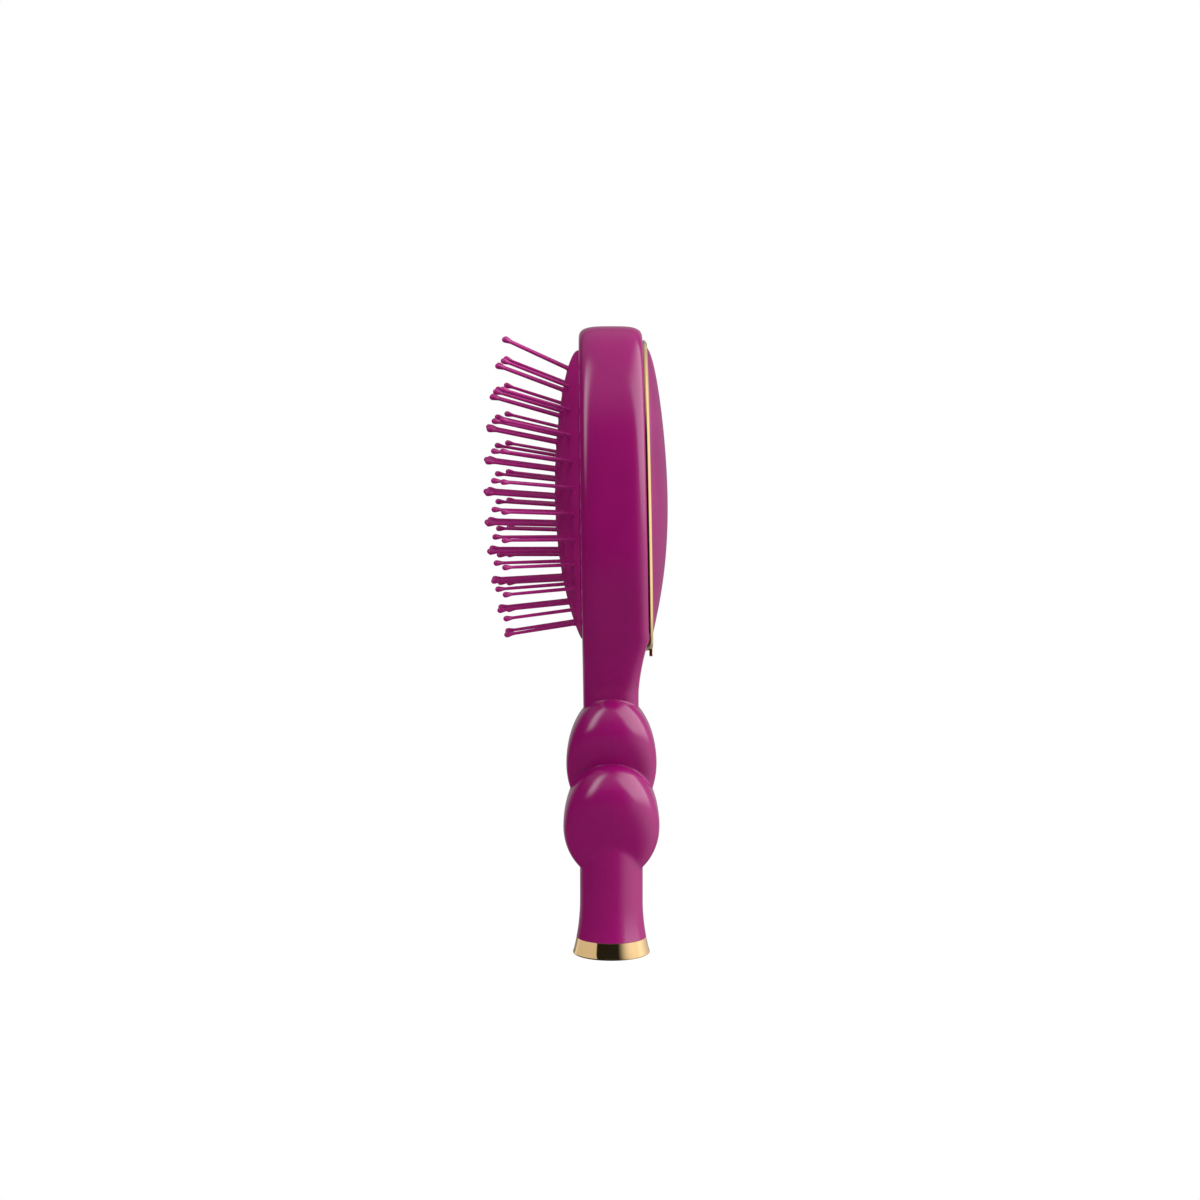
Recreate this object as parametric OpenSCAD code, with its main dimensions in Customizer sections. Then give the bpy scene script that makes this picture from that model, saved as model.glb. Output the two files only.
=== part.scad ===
// Oval detangling brush that stands on its foot.
// A handle of two moulded halves carries a cushioned bed of ball-tipped pins on its front
// and a domed cover inside a plated trim ring on its back.
// Z is up, the pins point to -X and the cover to +X. The origin is the middle of the foot's flat face.

/* [Head] */
// Height of the whole brush
brush_h = 188; // [178:1:200]
// Width of the head
head_w = 59; // [57:0.5:64]
// Distance from the top of the head down to its widest place
head_top_h = 49; // [47:0.5:53]
// Distance from the widest place down to the neck
head_low_h = 60; // [57:0.5:64]
// Depth of the front half at the top of the head
front_top_d = 9.75; // [9.4:0.05:10.6]
// Depth of the front half at the neck
front_neck_d = 8.45; // [8:0.05:9]
// Depth of the back half at the top of the head
back_top_d = 8.95; // [8.7:0.05:9.8]
// Depth of the back half below the cover
back_low_d = 10.95; // [10.5:0.05:11.6]
// Depth of the back half at the neck
back_neck_d = 8.1; // [7.6:0.1:8.8]
// Width of the neck
neck_w = 13.6; // [12:0.2:15]
// Rounding of the head's edges
edge_r = 4.4; // [3.8:0.1:4.8]

/* [Handle] */
// Height of the lower swelling's middle, as a share of the neck's height
low_bulb_share = 0.4937; // [0.47:0.001:0.52]
// Depth of the lower swelling
low_bulb_d = 28.8; // [26:0.2:31]
// Width of the lower swelling
low_bulb_w = 34; // [31:0.2:36]
// Height of the upper swelling's middle, as a share of the neck's height
high_bulb_share = 0.7342; // [0.71:0.001:0.76]
// Depth of the upper swelling
high_bulb_d = 27; // [25:0.2:29]
// Width of the upper swelling
high_bulb_w = 28; // [26:0.2:30]
// Radius of the stem
stem_r = 9.45; // [8.8:0.05:10]
// Wall of the hollow handle
wall = 2.2; // [1.8:0.1:2.6]

/* [Foot] */
// Height of the plated foot
foot_h = 5.1; // [4:0.1:7]
// Radius of the foot where it stands
foot_r = 11.6; // [11:0.1:13]
// Radius of the foot where the stem meets it
foot_top_r = 10.5; // [10.2:0.1:11]
// Length of the spigot that plugs the stem
spigot_l = 8; // [6:0.5:12]
// Wall of the spigot and floor of the foot
foot_wall = 1.4; // [1.2:0.1:2]

/* [Cushion] */
// Width of the cushion
pad_w = 45; // [43:0.5:46]
// Height of the cushion
pad_h = 85.5; // [82:0.5:87]
// Distance from the top of the head down to the cushion's middle
pad_drop = 49.8; // [49:0.1:51]
// Rise of the cushion's crown above the rim of the head
pad_crown = 7.6; // [5:0.1:9]
// Thickness of the rubber
rubber_t = 1.6; // [1.2:0.1:2]
// Width of the flange that holds the cushion
flange_w = 2.2; // [1.6:0.1:2.6]
// Thickness of the flange
flange_t = 1.5; // [1.2:0.1:1.8]
// Distance of the lip's inner face in front of the parting plane
lip_x = 6.6; // [6.2:0.1:7]

/* [Pins] */
// Length of a pin outside the cushion
pin_l = 21.4; // [16:0.1:24]
// Radius of a pin at its root
pin_root_r = 0.56; // [0.45:0.01:0.65]
// Radius of a pin below its ball
pin_end_r = 0.46; // [0.4:0.01:0.55]
// Radius of the ball
ball_r = 0.86; // [0.7:0.01:1]
// Thickness of the backing that carries the pins
backing_t = 0.9; // [0.7:0.1:1.2]
// Distance of the rings' middle below the cushion's
bed_drop = 0.5; // [0:0.1:1]
// Number of pins in the outer ring
outer_pins = 24; // [18:6:30]
// Number of pins in the middle ring
middle_pins = 20; // [16:4:24]
// Number of pins in the inner ring
inner_pins = 14; // [10:2:18]
// Number of pins in the centre row
centre_pins = 5; // [3:1:7]

/* [Cover and trim] */
// Width of the back cover
cover_w = 50; // [48:0.5:51]
// Height of the back cover
cover_h = 88.7; // [86:0.1:89.5]
// Distance from the top of the head down to the cover's middle
cover_drop = 50.15; // [49:0.05:51]
// Rise of the cover's crown above its edge
cover_crown = 5.9; // [3:0.1:7]
// Thickness of the cover
cover_t = 1.8; // [1.4:0.1:2.2]
// Width of the trim ring
trim_w = 1.6; // [1.2:0.1:1.8]
// Thickness of the trim ring
trim_t = 1.3; // [1.1:0.1:1.6]
// Length of the trim's tail below the ring
tail_l = 2.5; // [2.2:0.1:3.6]
// Width of the tail
tail_w = 4; // [3.6:0.1:4.6]

/* [Hidden] */
// Clearance between a soft or moving piece and the piece it stays clear of
clear = 0.3;
// Fitting gap between pieces that are glued or clipped
fit = 0.1;
// Overrun of a cut past the face it opens
over = 1;

// Heights of the head's outline
wide_z = brush_h - head_top_h;
neck_z = wide_z - head_low_h;
low_bulb_z = neck_z * low_bulb_share;
high_bulb_z = neck_z * high_bulb_share;
root_z = high_bulb_z + wall * 4;
pad_z = brush_h - pad_drop;
cover_z = brush_h - cover_drop;
// Height at which the back face leaves its flat plane and falls to the neck
flat_z = cover_z - cover_h / 2 + wall * 1.6;
fall_share = 1.5;
// Shares that shape the outline from the widest place to the neck
taper_share = 2.4;
flare_share = 1.3;
// Squareness of the head's rounded edge, and of the swellings across the handle
edge_share = 2.6;
bulb_share = 4;
// Angle at which a swelling's rounded side is closed by a small flat
pole = 85;
// Share of the neck's half width that its rounding takes
neck_round_share = 0.92;

// Semi-axes of a swelling above and below its middle, as shares of its depth
low_up_share = 0.72;
low_down_share = 0.57;
high_up_share = 0.765;
high_down_share = 0.68;
// Width of a swelling at its narrow lower end, as a share of its full width
low_waist_share = 0.4;
high_waist_share = 0.45;
// Where the narrowing starts and ends, as shares of the swelling's depth from its middle
low_waist_top_share = 0.476;
low_waist_end_share = 0.45;
high_waist_top_share = 0.481;
high_waist_end_share = 0.26;

// Cushion plan and profile
pad_a = pad_w / 2;
pad_b = pad_h / 2;
well_gap = flange_w + clear;
tray_x = lip_x - clear * 2 - flange_t;
tray_floor = flange_t;
pad_edge_rise = clear;
// Fullness of the crown along and across the cushion, at its low and at its top end
pad_low_share = 0.85;
pad_top_share = 0.58;
side_low_share = 1.6;
side_top_share = 1;
least = 0.000001;
// Insets of the pin rings and of the seams between their backings, as shares of the cushion's half width
ring_shares = [0.2111, 0.4667, 0.7333];
seam_shares = [0.075, 0.34, 0.6, 0.8667];
skirt_share = 0.135;
slit_share = 0.97;
edge_inset_share = 0.02;
// Half length of the centre row's pins, as a share of the slit's
row_share = 0.8;
// Angles that the pins tilt up at the top and down at the bottom, and lean to the sides
tilt_up = 29;
tilt_down = 11;
lean = 18;
// Height of the level pins, as a share of the cushion's half height below its middle
level_share = 0.38;
tilt_up_share = 1.5;
tilt_down_share = 1;

// Cover and trim
cover_a = cover_w / 2;
cover_b = cover_h / 2;
// Fullness of the cover's dome at its low and at its top end
cover_low_share = 1.1;
cover_top_share = 0.55;
trim_a = cover_a + fit;
trim_b = cover_b + fit;

// Steps of the curved surfaces
low_steps = 16;
top_steps = 11;
edge_steps = 5;
bulb_rings = 9;
bulb_steps = 28;
space_rings = 5;
space_steps = 14;
stem_steps = 4;
pad_steps = 48;
cover_steps = 44;

// Rings of pins and the slices that the backing of each is laid in
ring_names = ["outer", "middle", "inner"];
ring_pins = [outer_pins, middle_pins, inner_pins];
slice_counts = [for (r = [0:len(ring_pins) - 1]) (len(ring_pins) - r) * 2];
function slice_name(r, k) = str("pins_", ring_names[r], "_", k + 1);
slice_names = [for (r = [0:len(slice_counts) - 1]) for (k = [0:slice_counts[r] - 1]) slice_name(r, k)];

// Helpers
function mix(a, b, t) = a + (b - a) * t;
function held(t) = max(0, min(1, t));
function ease(t) = held(t) * held(t) * (3 - 2 * held(t));

// Outline of the head and neck seen from the front: half width at a height
function side_w(z) = z >= wide_z
    ? head_w / 2 * sqrt(max(0, 1 - pow((z - wide_z) / head_top_h, 2)))
    : neck_w / 2 + (head_w - neck_w) / 2
        * pow(1 - pow(held((wide_z - z) / head_low_h), taper_share), flare_share);

// Right half of the outline from the root of the neck to the top, as [y, z]
outline = concat(
    [[side_w(root_z), root_z]],
    [for (k = [0:low_steps - 1]) let (z = mix(neck_z, wide_z, k / low_steps)) [side_w(z), z]],
    [for (k = [0:top_steps]) let (a = 90 * k / top_steps)
        [head_w / 2 * cos(a), wide_z + head_top_h * sin(a)]]
);
last = len(outline) - 1;
function normal(i) = i == 0 ? [1, 0] : i == last ? [0, 1]
    : let (d = outline[i + 1] - outline[i - 1]) [d[1], -d[0]] / norm(d);

// Depths of the two halves at a height
function front_d(z) = mix(front_neck_d, front_top_d, (z - neck_z) / (brush_h - neck_z));
function plane_d(z) = mix(back_low_d, back_top_d, (z - flat_z) / (brush_h - flat_z));
function back_d(z) = z > flat_z ? plane_d(z)
    : mix(back_neck_d, back_low_d, pow(held((z - neck_z) / (flat_z - neck_z)), fall_share));
function half_d(side, z) = side < 0 ? front_d(z) : back_d(z);
function round_d(z) = mix(neck_w / 2 * neck_round_share, edge_r, ease((z - neck_z) / (flat_z - neck_z)));

// One closed loop of the head's surface at a step of its rounded edge
function head_loop(side, t) =
    let (deep = pow(sin(t), 2 / edge_share), inset = 1 - pow(cos(t), 2 / edge_share))
    let (right = [for (i = [0:last]) outline[i] - normal(i) * inset * round_d(outline[i][1])])
    let (loop = concat([[0, root_z]], right, [for (i = [last - 1:-1:0]) [-right[i][0], right[i][1]]]))
    [for (p = loop) [side * half_d(side, p[1]) * deep, p[0], p[1]]];

// Solid through a list of closed loops. Each loop is mirrored in Y and starts at its lowest point,
// so its two ends close with strips across
module loft(loops) {
    m = len(loops[0]);
    n = len(loops);
    sides = [for (j = [0:n - 2]) for (i = [0:m - 1]) let (k = (i + 1) % m)
        each [[j * m + i, (j + 1) * m + k, j * m + k], [j * m + i, (j + 1) * m + i, (j + 1) * m + k]]];
    near = [for (i = [0:m / 2 - 1]) let (k = (m - i) % m)
        each i == 0 ? [[0, 1, m - 1]] : i == m / 2 - 1 ? [[i, i + 1, k]]
            : [[i, i + 1, k - 1], [i, k - 1, k]]];
    far = [for (f = near) [for (i = [2:-1:0]) f[i] + (n - 1) * m]];
    polyhedron(points = [for (l = loops) each l], faces = concat(sides, near, far));
}

// Solid along a row of flat sections with the same number of corners
module sweep(sections) {
    m = len(sections[0]);
    n = len(sections);
    sides = [for (j = [0:n - 2]) for (i = [0:m - 1]) let (k = (i + 1) % m)
        each [[j * m + i, j * m + k, (j + 1) * m + k], [j * m + i, (j + 1) * m + k, (j + 1) * m + i]]];
    near = [for (i = [1:m - 2]) [0, i + 1, i]];
    far = [for (f = near) [for (i = [2:-1:0]) f[i] + (n - 1) * m]];
    polyhedron(points = [for (s = sections) each s], faces = concat(sides, near, far));
}

// Closed band through loops whose last one joins the first
module hoop(loops) {
    m = len(loops[0]);
    n = len(loops);
    polyhedron(
        points = [for (l = loops) each l],
        faces = [for (j = [0:n - 1]) for (i = [0:m - 1]) let (k = (i + 1) % m, q = (j + 1) % n)
            each [[j * m + i, q * m + k, j * m + k], [j * m + i, q * m + i, q * m + k]]]
    );
}

// Ellipse in the YZ plane, from its lowest point
function oval(a, b, z, x, steps) = [for (i = [0:steps - 1]) let (t = 360 * i / steps - 90)
    [x, a * cos(t), z + b * sin(t)]];
module oval_block(a, b, z, x0, x1) {
    translate([x0, 0, z])
        rotate([90, 0, 90])
            linear_extrude(x1 - x0)
                polygon([for (p = oval(a, b, 0, 0, pad_steps)) [p[1], p[2]]]);
}

// Half of the head and neck: side -1 is the front, side 1 the back
module half_head(side) {
    steps = side < 0 ? [edge_steps:-1:0] : [0:edge_steps];
    loft([for (k = steps) head_loop(side, 90 * k / edge_steps)]);
}

// Swelling of the handle: an ellipse in side view that is broad and blunt across the handle,
// and that narrows towards its lower end
module bulb(z, d, w, up, down, waist, waist_top, waist_end, skin) {
    rings = skin > 0 ? space_rings : bulb_rings;
    steps = skin > 0 ? space_steps : bulb_steps;
    a = d / 2 - skin;
    b = w / 2 - skin;
    u = up * d - skin;
    v = down * d - skin;
    hi = z + waist_top * d;
    lo = z - waist_end * d;
    angles = [for (k = [0:2 * rings]) mix(-pole, pole, k / (2 * rings))];
    loops = [for (t = angles)
        [for (i = [0:steps - 1]) let (p = 360 * i / steps)
            let (zz = z + (sin(p) > 0 ? u : v) * cos(t) * sin(p))
            let (y = b * sign(t) * pow(abs(sin(t)), 2 / bulb_share))
            [a * cos(t) * cos(p), y * mix(1, waist, ease((hi - zz) / (hi - lo))), zz]]];
    sweep(loops);
}
module low_bulb(skin) {
    bulb(low_bulb_z, low_bulb_d, low_bulb_w, low_up_share, low_down_share,
        low_waist_share, low_waist_top_share, low_waist_end_share, skin);
}
module high_bulb(skin) {
    bulb(high_bulb_z, high_bulb_d, high_bulb_w, high_up_share, high_down_share,
        high_waist_share, high_waist_top_share, high_waist_end_share, skin);
}

// Stem that flares towards the foot
flare_h = stem_r * 1.2;
function stem_at(z) = stem_r + (foot_top_r - stem_r) * pow(held((foot_h + flare_h - z) / flare_h), 2);
module stem() {
    heights = [for (k = [0:stem_steps]) mix(foot_h, foot_h + flare_h, k / stem_steps)];
    rotate_extrude($fn = 44)
        polygon(concat(
            [[0, foot_h]],
            [for (z = heights) [stem_at(z), z]],
            [[stem_r, low_bulb_z - wall], [0, low_bulb_z - wall]]
        ));
}

// Space inside the handle
bore_r = stem_r - wall;
module handle_space() {
    low_bulb(wall);
    high_bulb(wall);
    translate([0, 0, foot_h - over])
        cylinder(h = low_bulb_z - foot_h, r = bore_r, $fn = 28);
    hull() {
        translate([0, 0, high_bulb_z]) sphere(r = neck_w / 2 - wall, $fn = 16);
        translate([0, 0, neck_z + wall * 2]) sphere(r = neck_w / 2 - wall, $fn = 16);
    }
}

// Locating pegs round the head, between the well and the outer wall
peg_r = wall / 2;
peg_l = wall * 1.4;
peg_angles = [for (k = [0:7]) 22.5 + 45 * k];
module pegs(extra) {
    gap = (head_w - pad_w) / 4 + well_gap / 2;
    for (t = peg_angles)
        translate([-over, (pad_a + gap) * cos(t), pad_z + (pad_b + gap) * sin(t)])
            rotate([0, 90, 0])
                hull() {
                    cylinder(h = over + peg_l - peg_r + extra, r = peg_r + extra, $fn = 16);
                    cylinder(h = over + peg_l + extra, r = peg_r / 2 + extra, $fn = 16);
                }
}

// Half of the outer form of handle, neck and head
module half_body(side) {
    far = brush_h;
    half_head(side);
    intersection() {
        union() {
            low_bulb(0);
            high_bulb(0);
            stem();
        }
        translate([side < 0 ? -far : 0, -far / 2, 0]) cube([far, far, far]);
    }
}

module front_shell() {
    color("#83135b") {
        difference() {
            half_body(-1);
            handle_space();
            oval_block(pad_a + clear, pad_b + clear, pad_z, -front_top_d - over, over);
            oval_block(pad_a + well_gap, pad_b + well_gap, pad_z, -lip_x, over);
        }
        pegs(0);
    }
}

// Tail below the trim ring, and the boss behind the ring that is let into the back half
tail_z = cover_z - trim_b - trim_w / 2;
tail_x = plane_d(tail_z) + trim_t - fit;
tail_t = trim_t * 0.75;
boss_l = trim_w * 0.75;
boss_x = back_neck_d;
module tail_boss(extra) {
    translate([boss_x - extra, -tail_w / 2 - extra, tail_z - boss_l / 2 - extra])
        cube([tail_x - tail_t / 2 - boss_x + extra, tail_w + extra * 2, boss_l + extra * 2]);
}

// Deck that closes the back half behind the cover
deck_x = back_top_d - wall * 0.7;
module back_shell() {
    color("#83135b")
        difference() {
            half_body(1);
            handle_space();
            oval_block(pad_a - wall / 2, pad_b - wall / 2, pad_z, -over, deck_x);
            pegs(fit);
            tail_boss(fit);
        }
}

// Tray behind the cushion: its rim backs the flange and its floor closes the air space
module pad_tray() {
    color("#6a0f49")
        difference() {
            oval_block(pad_a + flange_w, pad_b + flange_w, pad_z, -tray_x, 0);
            oval_block(pad_a - rubber_t, pad_b - rubber_t, pad_z, -tray_x - over, -tray_floor);
        }
}

// Cushion surface. An inset share of 0 is its edge and 1 its centre row
function pad_point(s, t) = [(pad_a - s * pad_a) * cos(t), (pad_b - s * pad_a) * sin(t)];
function pad_rise(p) =
    let (u = pow(p[0] / pad_a, 2), v = pow(p[1] / pad_b, 2), up = held(0.5 + p[1] / pad_b / 2))
    let (across = mix(side_low_share, side_top_share, up), along = mix(pad_low_share, pad_top_share, up))
    let (full = (u * across + v * along) / max(u + v, least))
    pad_edge_rise + (pad_crown - pad_edge_rise) * pow(max(0, 1 - u - v), full);
function pad_x(p, under) = under - front_d(pad_z + p[1]) - pad_rise(p);
function pad_loop(s, under) = [for (i = [0:pad_steps - 1])
    let (p = pad_point(s, 360 * i / pad_steps - 90)) [pad_x(p, under), p[0], pad_z + p[1]]];
pad_shares = [slit_share, seam_shares[3], ring_shares[2], seam_shares[2], ring_shares[1],
    seam_shares[1], ring_shares[0], skirt_share, seam_shares[0], edge_inset_share];
module cushion() {
    a = pad_a;
    b = pad_b;
    flange_x = -lip_x + clear;
    back_x = flange_x + flange_t;
    inner = [for (k = [len(pad_shares) - 2:-1:0]) pad_loop(pad_shares[k], rubber_t)];
    color("#7c0d55")
        loft(concat(
            [for (s = pad_shares) pad_loop(s, 0)],
            [
                oval(a, b, pad_z, -front_neck_d, pad_steps),
                oval(a, b, pad_z, flange_x, pad_steps),
                oval(a + flange_w, b + flange_w, pad_z, flange_x, pad_steps),
                oval(a + flange_w, b + flange_w, pad_z, back_x, pad_steps),
                oval(a - rubber_t, b - rubber_t, pad_z, back_x, pad_steps)
            ],
            inner
        ));
}

// Pins: a tapered shaft with a drop-shaped ball, sunk in the backing by its root
ball_h = ball_r * 3.6;
profile_shares = [[0.72, 0.34], [0.94, 0.6], [1, 0.76], [0.84, 0.9], [0.5, 0.98]];
module pin(p) {
    d = p[1] + level_share * pad_b;
    tilt = d > 0
        ? tilt_up * pow(d / (pad_b * (1 + level_share)), tilt_up_share)
        : -tilt_down * pow(-d / (pad_b * (1 - level_share)), tilt_down_share);
    l = pin_l + rubber_t;
    translate([pad_x(p, rubber_t + fit), p[0], pad_z + p[1]])
        rotate([0, tilt - 90, -lean * p[0] / pad_a])
            rotate_extrude($fn = 14)
                polygon(concat(
                    [[0, -backing_t / 2], [pin_root_r, -backing_t / 2], [pin_end_r, l - ball_h]],
                    [for (q = profile_shares) [q[0] * ball_r, l - ball_h * (1 - q[1])]],
                    [[0, l]]
                ));
}

// Angle on a ring at a share of its length, found on short chords
arc_steps = 120;
function arc_point(s, k) = pad_point(s, 360 * k / arc_steps - 90);
function chord(s, k) = norm(arc_point(s, k + 1) - arc_point(s, k));
function lengths(s, k = 0, sum = 0) = k == arc_steps ? [sum]
    : concat([sum], lengths(s, k + 1, sum + chord(s, k)));
function angle_at(sums, share) =
    let (want = share * sums[arc_steps])
    let (k = max([for (i = [0:arc_steps - 1]) if (sums[i] <= want) i]))
    360 * (k + (want - sums[k]) / (sums[k + 1] - sums[k])) / arc_steps - 90;

// Slice of a ring's backing with its own pins
slice_steps = [for (r = [0:len(ring_pins) - 1]) 8 + r * 3];
function backing_point(s, t, under) = let (p = pad_point(s, t)) [pad_x(p, under), p[0], pad_z + p[1]];
module pin_slice(r, k) {
    sums = lengths(ring_shares[r]);
    n = slice_counts[r];
    own = ring_pins[r] / n;
    s0 = seam_shares[r] + clear / pad_a;
    s1 = seam_shares[r + 1];
    top = rubber_t + fit;
    low = top + backing_t;
    color("#7c0d55") {
        sweep([for (j = [0:slice_steps[r]])
            let (t = angle_at(sums, (k + j / slice_steps[r]) / n))
            [
                backing_point(s0, t, low), backing_point(ring_shares[r], t, low), backing_point(s1, t, low),
                backing_point(s1, t, top), backing_point(ring_shares[r], t, top), backing_point(s0, t, top)
            ]]);
        for (j = [0:own - 1])
            let (t = angle_at(sums, (k * own + j + 0.5) / ring_pins[r]))
                pin(pad_point(ring_shares[r], t) - [0, bed_drop]);
    }
}

// Centre slice of the backing with the row of pins in the middle
module pins_centre() {
    half = (pad_b - pad_a) * row_share;
    n = centre_pins - 1;
    s0 = seam_shares[3] + clear * 2 / pad_a;
    top = rubber_t + fit;
    low = top + backing_t;
    color("#7c0d55") {
        loft([pad_loop(slit_share, top), pad_loop(s0, top), pad_loop(s0, low), pad_loop(slit_share, low)]);
        for (j = [0:n])
            pin([0, mix(-half, half, j / n) - bed_drop]);
    }
}

// Trim ring on the back of the head, with its tail towards the neck
trim_corner_shares = [[0, 0], [1, 0], [1, 0.6], [0.7, 0.95], [0.2, 1], [0, 0.8]];
module trim_ring() {
    color("#e2c083") {
        hoop([for (c = trim_corner_shares)
            [for (p = oval(trim_a + c[0] * trim_w, trim_b + c[0] * trim_w, cover_z, 0, cover_steps))
                [mix(back_d(p[2]) + fit, plane_d(p[2]) + trim_t, c[1]), p[1], p[2]]]]);
        tail_boss(0);
        translate([tail_x - tail_t, 0, tail_z])
            rotate([0, 90, 0])
                linear_extrude(tail_t)
                    polygon([
                        [0, -tail_w / 2], [tail_l - tail_w / 4, -tail_w / 2], [tail_l, -tail_w / 4],
                        [tail_l, tail_w / 4], [tail_l - tail_w / 4, tail_w / 2], [0, tail_w / 2]
                    ]);
    }
}

// Domed back cover, open behind
function cover_point(s, t) = [(cover_a - s * cover_a) * cos(t), (cover_b - s * cover_a) * sin(t)];
function cover_x(p, under) =
    let (q = pow(p[0] / cover_a, 2) + pow(p[1] / cover_b, 2), up = held(0.5 + p[1] / cover_b / 2))
    let (rise = cover_crown * pow(max(0, 1 - q), mix(cover_low_share, cover_top_share, up)))
    plane_d(cover_z + p[1]) + max(fit * 2, trim_t / 2 + rise - under);
function cover_loop(s, under) = [for (i = [0:cover_steps - 1])
    let (p = cover_point(s, 360 * i / cover_steps - 90)) [cover_x(p, under), p[0], cover_z + p[1]]];
function cover_foot(s) = [for (i = [0:cover_steps - 1])
    let (p = cover_point(s, 360 * i / cover_steps - 90), z = cover_z + p[1]) [back_d(z) + fit, p[0], z]];
cover_shares = [0.96, 0.75, 0.5, 0.28, 0.12, 0];
module back_cover() {
    rim = cover_t * 2 / cover_a;
    color("#9a2f76")
        loft(concat(
            [for (k = [0:3]) cover_loop(cover_shares[k], cover_t)],
            [cover_loop(rim, cover_t), cover_foot(rim), cover_foot(0)],
            [for (k = [5:-1:0]) cover_loop(cover_shares[k], 0)]
        ));
}

// Plated foot: a flared cap whose spigot plugs the stem
foot_edge = 0.4;
module foot_cap() {
    spigot_r = bore_r - fit;
    color("#e7c38a")
        rotate_extrude($fn = 72)
            polygon(concat(
                [[0, 0], [foot_r - foot_edge, 0], [foot_r, foot_edge]],
                [for (k = [1:5]) let (t = k / 5)
                    [mix(foot_r, foot_top_r, pow(t, 0.8)), mix(foot_edge, foot_h, t)]],
                [
                    [spigot_r, foot_h], [spigot_r, foot_h + spigot_l],
                    [spigot_r - foot_wall, foot_h + spigot_l], [spigot_r - foot_wall, foot_wall],
                    [0, foot_wall]
                ]
            ));
}

front_shell();
back_shell();
pad_tray();
cushion();
for (r = [0:len(slice_counts) - 1])
    for (k = [0:slice_counts[r] - 1])
        pin_slice(r, k);
pins_centre();
trim_ring();
back_cover();
foot_cap();
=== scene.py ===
import math

import bmesh
import bpy
import numpy as np
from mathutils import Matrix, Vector


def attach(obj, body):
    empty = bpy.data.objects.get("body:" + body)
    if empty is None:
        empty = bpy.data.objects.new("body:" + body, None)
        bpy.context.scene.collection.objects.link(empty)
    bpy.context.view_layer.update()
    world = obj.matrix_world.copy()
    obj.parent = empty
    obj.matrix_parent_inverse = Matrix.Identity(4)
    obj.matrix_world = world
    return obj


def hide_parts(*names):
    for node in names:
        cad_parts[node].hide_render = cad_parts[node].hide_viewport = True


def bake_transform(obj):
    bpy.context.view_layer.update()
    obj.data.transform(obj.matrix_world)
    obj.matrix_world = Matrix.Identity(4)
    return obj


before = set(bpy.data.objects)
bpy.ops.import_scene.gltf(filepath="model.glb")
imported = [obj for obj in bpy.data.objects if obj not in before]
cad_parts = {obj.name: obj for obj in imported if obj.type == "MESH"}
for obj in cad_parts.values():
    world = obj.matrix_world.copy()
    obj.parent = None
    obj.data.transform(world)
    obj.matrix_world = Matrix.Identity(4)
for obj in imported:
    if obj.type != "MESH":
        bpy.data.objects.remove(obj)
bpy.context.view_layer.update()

MM = 0.001

# Head and neck. Depths are measured from the parting plane. SIDE_DROP and SIDE_FALL are the two
# powers of the outline below the widest place, and SIDE_RUN_OUT is how fast its curve goes on
# falling below the neck, where the neck's own width takes over.
BRUSH_H = 188.0
HEAD_W = 59.0
HEAD_TOP_H = 49.0
HEAD_LOW_H = 60.0
FRONT_TOP_D = 9.75
FRONT_NECK_D = 8.45
BACK_TOP_D = 8.95
BACK_LOW_D = 10.95
BACK_NECK_D = 8.1
BACK_FALL = 1.5
NECK_W = 13.6
NECK_SOFT = 2.0
NECK_ROUND = 0.92
SIDE_DROP = 2.4
SIDE_FALL = 1.3
SIDE_RUN_OUT = 0.4
EDGE_R = 4.4
WALL = 2.2
WIDE_Z = BRUSH_H - HEAD_TOP_H
NECK_Z = WIDE_Z - HEAD_LOW_H
JOIN_Z = NECK_Z + 2.0
NECK_POWER = 2.6
HEAD_POWER = 3.6

# Foot, stem and the two swellings. A swelling's rise above its middle, its fall below it, and the
# start and end of the waist's narrowing are shares of its depth d. The waist is a share of its
# width w. Creases are the widths over which two skins merge. The neck merges with the upper
# swelling above NECK_ROOT_Z, and keeps its own section below NECK_SECTION_Z.
FOOT_H = 5.1
FOOT_R = 11.6
FOOT_TOP_R = 10.5
STEM_R = 9.45
STEM_FLARE = STEM_R * 1.2
LOW_SWELLING = dict(z=NECK_Z * 0.4937, d=28.8, w=34.0, up=0.72, down=0.57,
                    waist=0.46, start=0.476, end=0.45)
HIGH_SWELLING = dict(z=NECK_Z * 0.7342, d=27.0, w=28.0, up=0.765, down=0.68,
                     waist=0.45, start=0.481, end=0.26)
STEM_CREASE = 0.7
SWELLING_CREASE = 0.6
NECK_ROOT_Z = HIGH_SWELLING["z"] + WALL * 4
NECK_SECTION_Z = NECK_Z - 5.0

# Cushion, an oval of half width PAD_A and half height PAD_B. The two fullness pairs are powers of
# its dome, at its lowest and its highest place.
PAD_A = 22.5
PAD_B = 42.75
PAD_Z = BRUSH_H - 49.8
PAD_CROWN = 7.6
PAD_FULL_ACROSS = (1.6, 1.0)
PAD_FULL_ALONG = (0.85, 0.58)
RUBBER_T = 1.6
FLANGE_W = 2.2
FLANGE_T = 1.5
LIP_X = 6.6
LIP_ROUND = 0.5
CLEAR = 0.3
FIT = 0.1

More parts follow.
